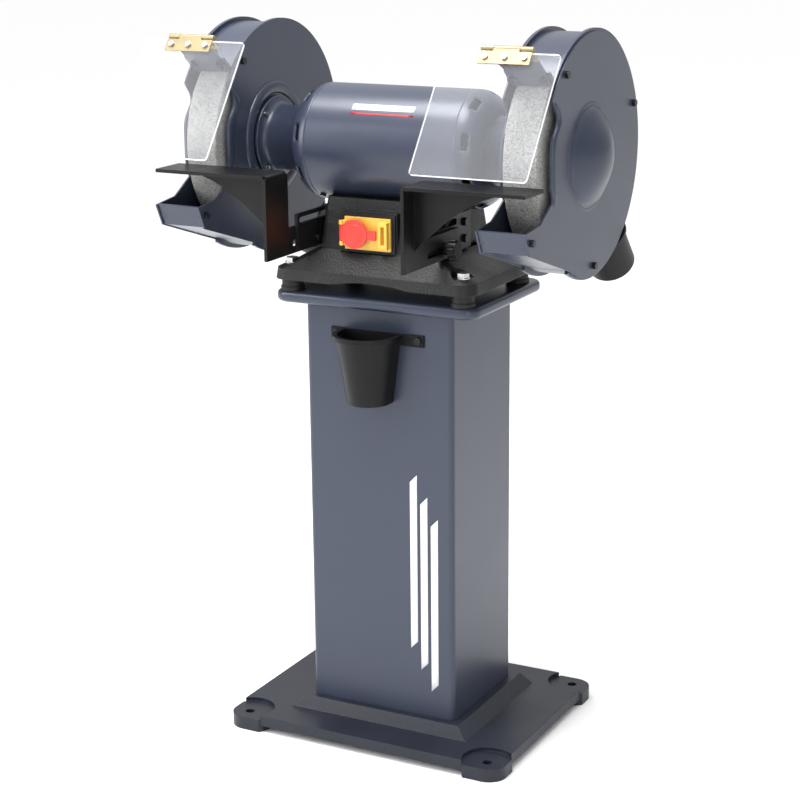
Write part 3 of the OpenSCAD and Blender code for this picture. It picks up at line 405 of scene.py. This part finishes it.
def pressed_cover(name, sign):
    """Plate triangulated between its outline and the dome's circle, at two depths, closed by a
    rim; the dome is a quarter of a cosine wave turned about the shaft, with a shallow pressed
    groove just inside its foot."""
    outline = plate_outline()
    turn = np.linspace(0, 2 * np.pi, 96, endpoint=False)
    circle = np.column_stack([shaft_y + dome_r * np.cos(turn), dome_r * np.sin(turn)])
    flat = np.concatenate([outline, circle])
    n, m = len(outline), len(circle)
    points, _, triangles, *_ = delaunay_2d_cdt(
        [Vector(p) for p in flat], loop_edges(0, n) + loop_edges(n, m), [], 0, 1e-7)
    flat = np.array([tuple(p) for p in points])
    triangles = np.array([t for t in triangles if len(t) == 3])
    middle = flat[triangles].mean(1)
    keep = inside(middle, outline) & ~inside(middle, circle)
    triangles = triangles[keep]
    total = len(flat)
    verts = [np.column_stack([np.full(total, sign * x), flat[:, 0], guard_z + flat[:, 1]])
             for x in (plate_x, plate_x - sheet)]
    faces = triangles.tolist() + (triangles[:, ::-1] + total).tolist()
    faces += [[i, (i + 1) % n, (i + 1) % n + total, i + total] for i in range(n)]
    smooth = [False] * len(faces)
    share = np.linspace(1, 0, 41)[1:-1]
    base = 2 * total
    for depth in (0.0, sheet):
        radius = dome_r * share
        x = (plate_x - depth + (cover_hi.x - plate_x) * np.cos(np.pi / 2 * share)
             - groove_deep * np.exp(-((share - groove_at) / groove_wide) ** 2))
        dome = np.stack([np.broadcast_to(sign * x[:, None], (len(share), m)),
                         shaft_y + radius[:, None] * np.cos(turn)[None, :],
                         guard_z + radius[:, None] * np.sin(turn)[None, :]], -1).reshape(-1, 3)
        first = n if depth == 0 else n + total
        index = np.vstack([np.arange(first, first + m)[None, :],
                           base + np.arange(len(dome)).reshape(-1, m)])
        quads = ring_quads(index)
        tip = base + len(dome)
        fan = np.column_stack([index[-1], np.roll(index[-1], -1), np.full(m, tip)])
        quads, fan = (quads, fan) if depth == 0 else (quads[..., ::-1], fan[:, ::-1])
        faces += quads.reshape(-1, 4).tolist() + fan.tolist()
        smooth += [True] * (quads.shape[0] * quads.shape[1] + m)
        verts += [dome, [[sign * (cover_hi.x - depth), shaft_y, guard_z]]]
        base = tip + 1
    faces = [f[::-1] for f in faces] if sign < 0 else faces
    piece = mesh_piece(name, np.concatenate(verts), faces, slate_coat)
    piece.data.polygons.foreach_set("use_smooth", smooth)
    piece.data.update()
    return piece


def mouth_bead(name, sign, x, up):
    """Half-round bead carried along the mouth edge a little behind it; its width and height fade
    to a hundredth, under a square root, over the last nine steps at both ends."""
    z = np.linspace(-0.052, 0.088, 70)
    y = mouth_edge(z) + bead_back
    turn = np.linspace(0, np.pi, 13)
    step = np.arange(len(z))
    fade = np.clip(np.minimum(step, step[::-1]) / 9, 0.01, 1)[:, None] ** 0.5
    height = fade * bead_high * np.sin(turn) - foot_sunk
    width = fade * bead_half * np.cos(turn)
    grid = np.stack([sign * (x + up * height), y[:, None] + width,
                     guard_z + np.broadcast_to(z[:, None], height.shape)], -1)
    return surface(name, grid if sign * up > 0 else grid[::-1], slate_coat)


for side, sign in (("r", 1), ("l", -1)):
    cover = pressed_cover("guard_cover_pressing_" + side, sign)
    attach(cover, "machine")
    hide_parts("guard_cover_" + side)
    for face, x, up in (("outer", plate_x, 1), ("inner", inner_plate_x, -1)):
        bead = mouth_bead(f"mouth_bead_{face}_{side}", sign, x, up)
        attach(bead, "machine")
    swell = np.linspace(0, np.pi, 11)
    profile = np.column_stack([boss_r + boss_half * np.cos(swell),
                               inner_plate_x + foot_sunk - boss_high * np.sin(swell)])
    ring = turn_about_shaft(profile, np.linspace(0, 2 * np.pi, 97)[:-1])
    ring[..., 0] *= sign
    boss = surface("guard_boss_" + side, ring if sign > 0 else ring[:, ::-1], slate_coat,
                   closed=True)
    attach(boss, "machine")

# ---- Fasteners, spindle and flanges ----
# Zinc-plated and black-oxide screws, turned steel spindle parts.
bright_zinc = finish("bright_zinc", (0.55, 0.56, 0.58), 0.28, metal=1.0, tint=0.05, edge=0.0005)
black_oxide = finish("black_oxide", (0.012, 0.012, 0.013), 0.35, metal=0.5, edge=0.0005)
turned_steel = finish("turned_steel", (0.45, 0.46, 0.48), 0.30, metal=1.0, edge=0.0005)
dress(["column_bolts_low", "column_bolts_top", "base_bolts", "spindle_nuts",
       "guard_mount_screws", "shield_screws_l", "shield_screws_r"], bright_zinc)
dress(["bell_screws", "cover_screws", "bracket_screws", "pot_screws", "rest_bracket_screws"],
      black_oxide)
dress(["spindle", "inner_flanges", "outer_flanges", "bearing_outers", "bearing_inners"],
      turned_steel)

# ---- Inside the motor ----
# Laminated cores, enamelled copper end windings, capacitor can.
lamination = finish("lamination", (0.10, 0.10, 0.11), 0.5, metal=0.9)
enamelled_copper = finish("enamelled_copper", (0.30, 0.10, 0.045), 0.4, metal=0.7)
can_aluminium = finish("can_aluminium", (0.55, 0.56, 0.57), 0.35, metal=1.0)
dress(["stator_core", "rotor_core"], lamination)
dress(["stator_windings"], enamelled_copper)
dress(["capacitor"], can_aluminium)

# ---- Grinding wheels ----
# Vitrified grey corundum: coarse grit of light and dark grains, with paper blotters.


def grit_stone(name, colour, grain=640.0):
    """Bonded grit: each cell of a Voronoi pattern is one grain with its own grey and height, over
    slow blotches where the bond is richer."""
    m, tree = new_material(name)
    link = tree.links.new
    place = node(tree, "TexCoord")
    grains = node(tree, "TexVoronoi", Scale=grain, Randomness=1.0)
    blotch = node(tree, "TexNoise", Scale=24.0, Detail=6.0, Roughness=0.65)
    link(place.outputs["Object"], grains.inputs["Vector"])
    link(place.outputs["Object"], blotch.inputs["Vector"])
    split = node(tree, "SeparateColor")
    link(grains.outputs["Color"], split.inputs[0])
    ramp = node(tree, "ValToRGB")
    tones = ramp.color_ramp.elements
    tones[0].color = [c * 0.52 for c in colour] + [1]
    tones[1].color = [min(1, c * 1.32) for c in colour] + [1]
    middle = tones.new(0.30)
    middle.color = [c * 0.97 for c in colour] + [1]
    link(split.outputs[0], ramp.inputs["Fac"])
    shade = node(tree, "MapRange", To_Min=0.72, To_Max=1.16)
    link(blotch.outputs["Fac"], shade.inputs["Value"])
    mix = node(tree, "MixRGB", blend_type="MULTIPLY", Fac=1.0)
    link(ramp.outputs["Color"], mix.inputs["Color1"])
    link(shade.outputs["Result"], mix.inputs["Color2"])
    skin = node(tree, "BsdfPrincipled", Roughness=0.88)
    link(mix.outputs["Color"], skin.inputs["Base Color"])
    bump = node(tree, "Bump", Strength=0.7, Distance=0.0005)
    link(split.outputs[1], bump.inputs["Height"])
    link(bump.outputs["Normal"], skin.inputs["Normal"])
    out = node(tree, "OutputMaterial")
    link(skin.outputs["BSDF"], out.inputs["Surface"])
    return m


wheel_stone = grit_stone("wheel_stone", (0.33, 0.33, 0.32))
blotter_card = finish("blotter_card", (0.50, 0.46, 0.36), 0.8, peel=0.0001)
dress(["wheel_l", "wheel_r"], wheel_stone)
dress(["blotters"], blotter_card)

# ---- Shield hinges ----
# Pressed leaves with yellow chromate on zinc.
yellow_zinc = finish("yellow_zinc", (0.34, 0.28, 0.165), 0.48, metal=0.9, tint=0.2, edge=0.0005)
dress(["hinge_leaf_l", "hinge_leaf_r", "shield_leaf_l", "shield_leaf_r"], yellow_zinc)

# ---- Eye shields ----
# Clear polycarbonate sheet with sawn, whitish edges.


def clear_sheet(name, haze_low, haze_high, colour):
    """Clear plastic: mostly see-through, a faint white haze, and a gloss that grows at grazing
    angles."""
    m, tree = new_material(name)
    link = tree.links.new
    place = node(tree, "TexCoord")
    smear = node(tree, "TexNoise", Scale=14.0, Detail=4.0)
    link(place.outputs["Object"], smear.inputs["Vector"])
    haze = node(tree, "MapRange", To_Min=haze_low, To_Max=haze_high)
    link(smear.outputs["Fac"], haze.inputs["Value"])
    through = node(tree, "BsdfTransparent", Color=(0.995, 0.997, 1.0, 1))
    milk = node(tree, "BsdfTranslucent", Color=colour)
    face = node(tree, "BsdfDiffuse", Color=colour)
    both = node(tree, "MixShader")
    both.inputs[0].default_value = 0.5
    link(milk.outputs[0], both.inputs[1])
    link(face.outputs[0], both.inputs[2])
    film = node(tree, "MixShader")
    link(haze.outputs["Result"], film.inputs[0])
    link(through.outputs[0], film.inputs[1])
    link(both.outputs[0], film.inputs[2])
    shine = node(tree, "BsdfGlossy", Roughness=0.05)
    gloss = node(tree, "LayerWeight", Blend=0.08)
    whole = node(tree, "MixShader")
    link(gloss.outputs["Facing"], whole.inputs[0])
    link(film.outputs[0], whole.inputs[1])
    link(shine.outputs[0], whole.inputs[2])
    out = node(tree, "OutputMaterial")
    link(whole.outputs[0], out.inputs["Surface"])
    return m


clear_face = clear_sheet("clear_sheet", 0.05, 0.08, (0.93, 0.95, 1.0, 1))
clear_edge = clear_sheet("clear_sawn_edge", 0.75, 0.9, (0.95, 0.97, 1.0, 1))
lean, edge_limit = math.radians(36), 0.5
across_sheet = np.array([0, math.cos(lean), -math.sin(lean)])
for name in ("eye_shield_l", "eye_shield_r"):
    mesh = nodes[name].data
    mesh.materials.clear()
    mesh.materials.append(clear_face)
    mesh.materials.append(clear_edge)
    normals = np.empty(len(mesh.polygons) * 3)
    mesh.polygons.foreach_get("normal", normals)
    facing = np.abs(normals.reshape(-1, 3) @ across_sheet)
    mesh.polygons.foreach_set("material_index", (facing < edge_limit).astype(np.int32))

# ---- Floor, light and camera ----
# A plain pale studio floor under soft boxes from the left, the right and overhead.
floor_white = finish("studio_white", (0.93, 0.93, 0.93), 0.9, tint=0.004, edge=0.0, specular=0.0)
reach = np.linspace(-40, 40, 9)
floor_z = -0.0002
ground = np.stack([*np.meshgrid(reach, reach, indexing="xy"), np.full((9, 9), floor_z)], -1)
studio_floor = surface("studio_floor", ground, floor_white)


def soft_box(name, place, aim, width, height, watts):
    """A rectangular white area light at a place, turned to face a point."""
    lamp = bpy.data.lights.new(name, "AREA")
    lamp.shape = "RECTANGLE"
    lamp.size, lamp.size_y = width, height
    lamp.energy = watts
    holder = bpy.data.objects.new(name, lamp)
    holder.matrix_world = Matrix.Translation(place) @ (
        Vector(aim) - Vector(place)).to_track_quat("-Z", "Y").to_matrix().to_4x4()
    bpy.context.scene.collection.objects.link(holder)


soft_box("key_left", (-2.5, -2.2, 1.9), (0, 0, 0.7), 1.2, 2.2, 75)
soft_box("front_right", (2.3, -2.9, 1.3), (0, 0, 0.7), 1.2, 2.0, 22)
soft_box("overhead", (-0.3, -0.5, 2.9), (0, 0, 0.8), 2.0, 1.0, 85)
world = bpy.data.worlds.new("studio")
world.use_nodes = True
sky = world.node_tree
aim = node(sky, "TexCoord")
height = node(sky, "SeparateXYZ")
sky.links.new(aim.outputs["Generated"], height.inputs[0])
glow = node(sky, "MapRange", To_Min=0.50, To_Max=1.35)
sky.links.new(height.outputs["Z"], glow.inputs["Value"])
flank = node(sky, "MapRange", To_Min=1.10, To_Max=0.55)
sky.links.new(height.outputs["X"], flank.inputs["Value"])
both = node(sky, "Math", operation="MULTIPLY")
sky.links.new(glow.outputs["Result"], both.inputs[0])
sky.links.new(flank.outputs["Result"], both.inputs[1])
sky.links.new(both.outputs[0], sky.nodes["Background"].inputs["Strength"])
sky.nodes["Background"].inputs["Color"].default_value = (1, 1, 1, 1)
bpy.context.scene.world = world

lens_az, lens_el, lens_roll = (math.radians(a) for a in (27.8675, 15.3016, -0.5917))
back = Vector((math.sin(lens_az) * math.cos(lens_el), -math.cos(lens_az) * math.cos(lens_el),
               math.sin(lens_el)))
level = Vector((math.cos(lens_az), math.sin(lens_az), 0))
rise_axis = back.cross(level)
right = math.cos(lens_roll) * level + math.sin(lens_roll) * rise_axis
up = back.cross(right)
camera = bpy.data.cameras.new("camera")
camera.sensor_width = 36
camera.lens = 88.759
stand_point = bpy.data.objects.new("camera", camera)
stand_point.matrix_world = Matrix.Translation((1.3238, -2.5382, 1.2870)) @ Matrix(
    (right, up, back)).transposed().to_4x4()
bpy.context.scene.collection.objects.link(stand_point)
bpy.context.scene.camera = stand_point
bpy.context.scene.view_settings.view_transform = "Standard"
